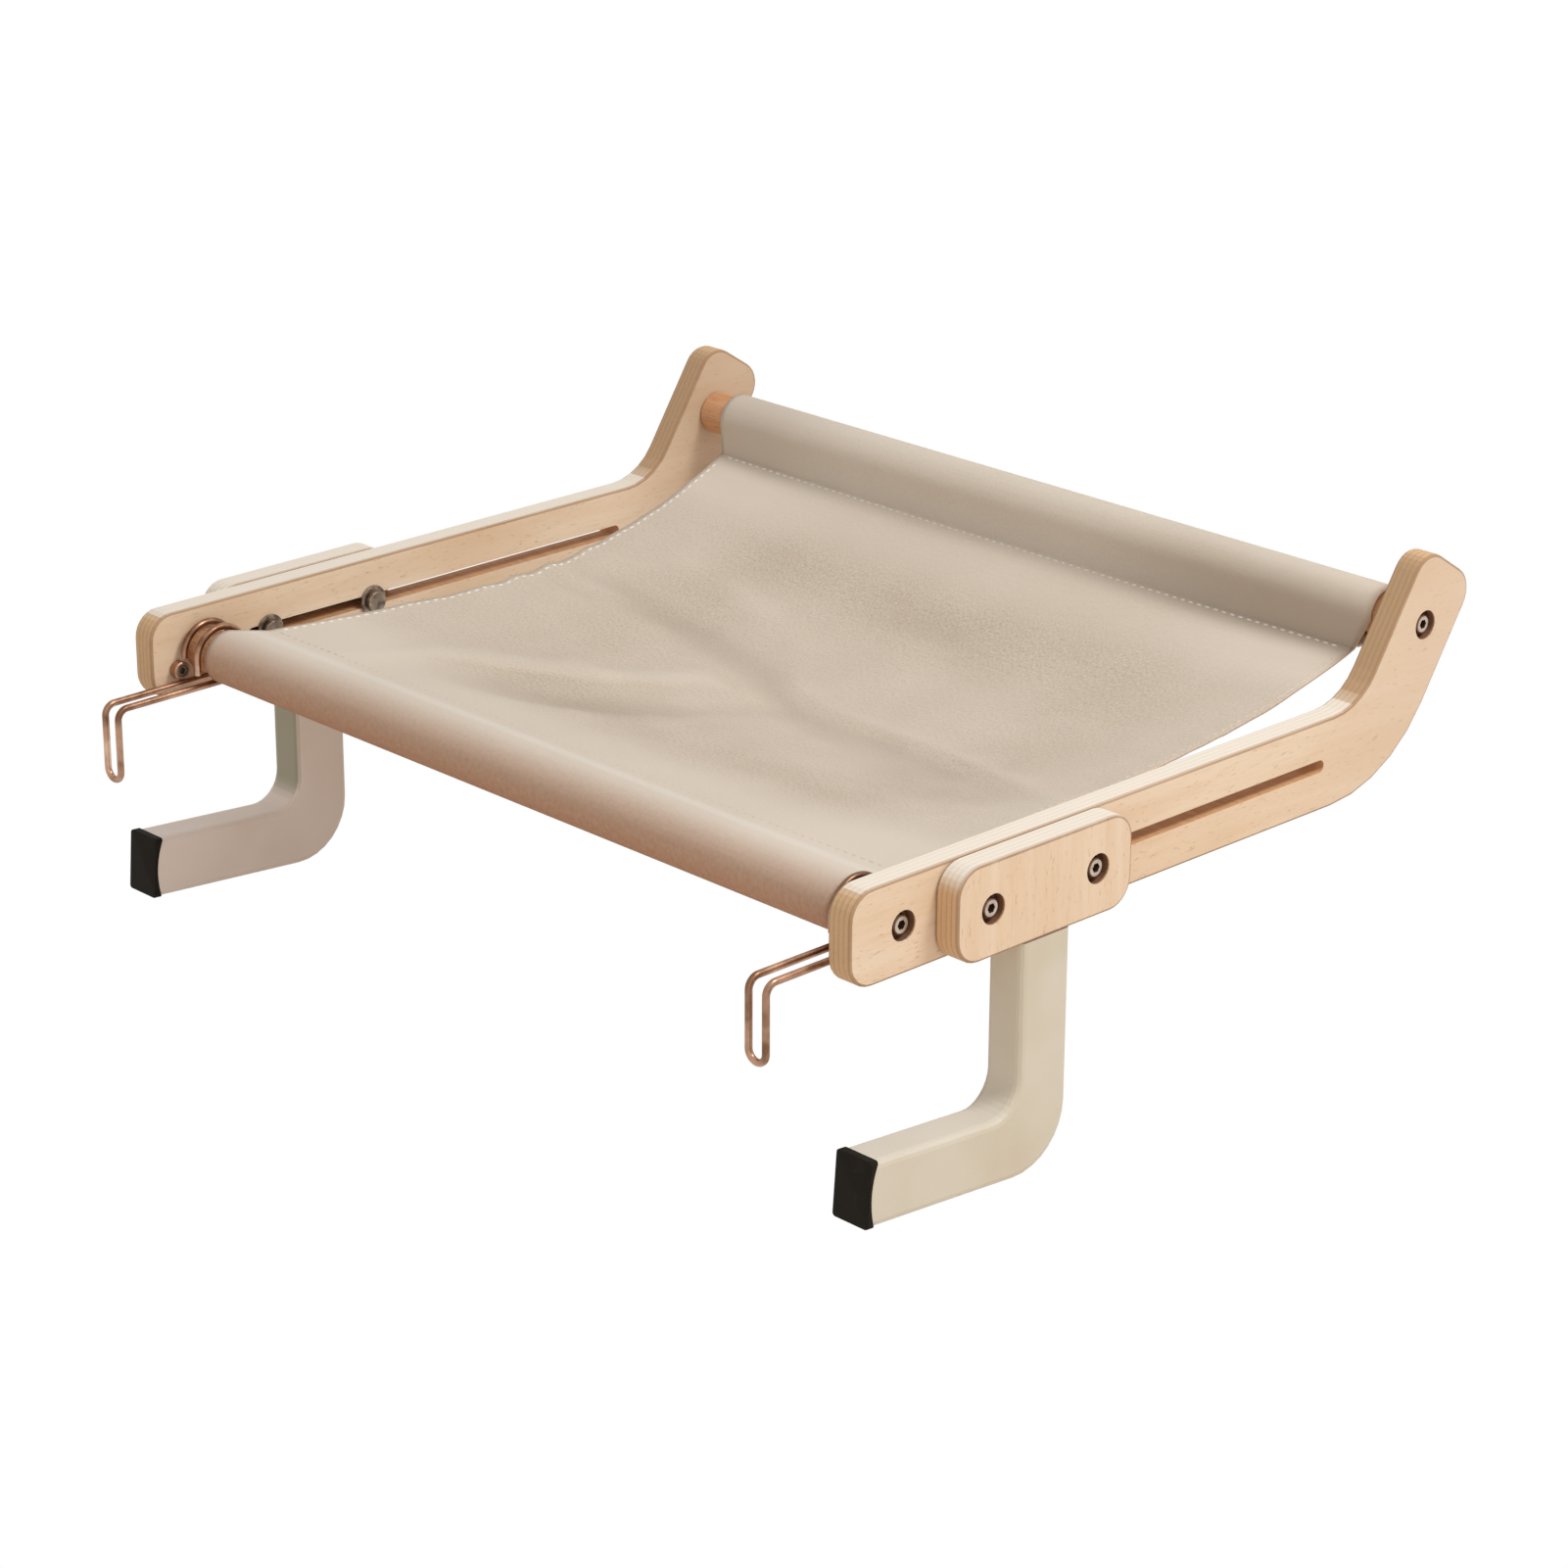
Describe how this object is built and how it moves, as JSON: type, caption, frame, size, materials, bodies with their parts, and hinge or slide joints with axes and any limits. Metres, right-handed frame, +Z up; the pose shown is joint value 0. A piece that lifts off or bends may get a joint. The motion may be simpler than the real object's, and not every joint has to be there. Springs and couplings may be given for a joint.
{
  "type": "cat window perch",
  "caption": "Window-sill cat perch: plywood side panels, wooden dowels, slung canvas bed, sliding clamped bent-tube legs and swinging double-wire hooks.",
  "frame": {"origin": "middle of the front dowel's axis, half way between the two wire hooks that carry the perch on a sill", "axes": "+X across the width along the dowels, +Y from the hooks to the raised back of the bed, +Z up"},
  "size_m": [0.4786, 0.4023, 0.1995],
  "materials": {
    "birch_plywood": "clear satin lacquer on pale birch plywood",
    "dowel_wood": "oiled reddish beech",
    "canvas": "matt beige brushed canvas",
    "cream_paint": "satin cream powder coat",
    "black_rubber": "matt moulded rubber",
    "bolt_steel": "bright zinc",
    "plate_steel": "plain rolled",
    "dark_bronze": "antique bronze plate",
    "hook_bronze": "antique copper plate on wire"
  },
  "bodies": {
    "frame": {"side_panel_left": "birch_plywood", "side_panel_right": "birch_plywood", "front_dowel": "dowel_wood", "rear_dowel": "dowel_wood", "sling": "canvas", "frame_bolt_front_left": "bolt_steel", "frame_bolt_front_right": "bolt_steel", "frame_bolt_rear_left": "bolt_steel", "frame_bolt_rear_right": "bolt_steel", "dowel_insert_front_left": "dark_bronze", "dowel_insert_front_right": "dark_bronze", "dowel_insert_rear_left": "dark_bronze", "dowel_insert_rear_right": "dark_bronze"},
    "clamp_left": {"clamp_block_left": "birch_plywood", "clamp_plate_left": "plate_steel", "leg_tube_left": "cream_paint", "leg_end_pad_left": "black_rubber", "clamp_bolt_front_left": "bolt_steel", "clamp_bolt_rear_left": "bolt_steel", "clamp_washer_front_left": "dark_bronze", "clamp_washer_rear_left": "dark_bronze", "clamp_nut_front_left": "dark_bronze", "clamp_nut_rear_left": "dark_bronze"},
    "clamp_right": {"clamp_block_right": "birch_plywood", "clamp_plate_right": "plate_steel", "leg_tube_right": "cream_paint", "leg_end_pad_right": "black_rubber", "clamp_bolt_front_right": "bolt_steel", "clamp_bolt_rear_right": "bolt_steel", "clamp_washer_front_right": "dark_bronze", "clamp_washer_rear_right": "dark_bronze", "clamp_nut_front_right": "dark_bronze", "clamp_nut_rear_right": "dark_bronze"},
    "hook_left": {"hook_wire_left": "hook_bronze", "hook_lock_barrel_left": "dark_bronze", "hook_lock_screw_left": "dark_bronze"},
    "hook_right": {"hook_wire_right": "hook_bronze", "hook_lock_barrel_right": "dark_bronze", "hook_lock_screw_right": "dark_bronze"}
  },
  "joints": [
    {"name": "clamp_slide_left", "type": "slide", "parent": "frame", "child": "clamp_left", "axis": [0, 1, 0], "range_m": [-0.0089, 0.1509]},
    {"name": "clamp_slide_right", "type": "slide", "parent": "frame", "child": "clamp_right", "axis": [0, 1, 0], "range_m": [-0.0089, 0.1509]},
    {"name": "hook_turn_left", "type": "hinge", "parent": "frame", "child": "hook_left", "pos_m": [-0.2065, 0, 0], "axis": [1, 0, 0], "range_deg": [-100, 90]},
    {"name": "hook_turn_right", "type": "hinge", "parent": "frame", "child": "hook_right", "pos_m": [0.2065, 0, 0], "axis": [1, 0, 0], "range_deg": [-100, 90]}
  ]
}
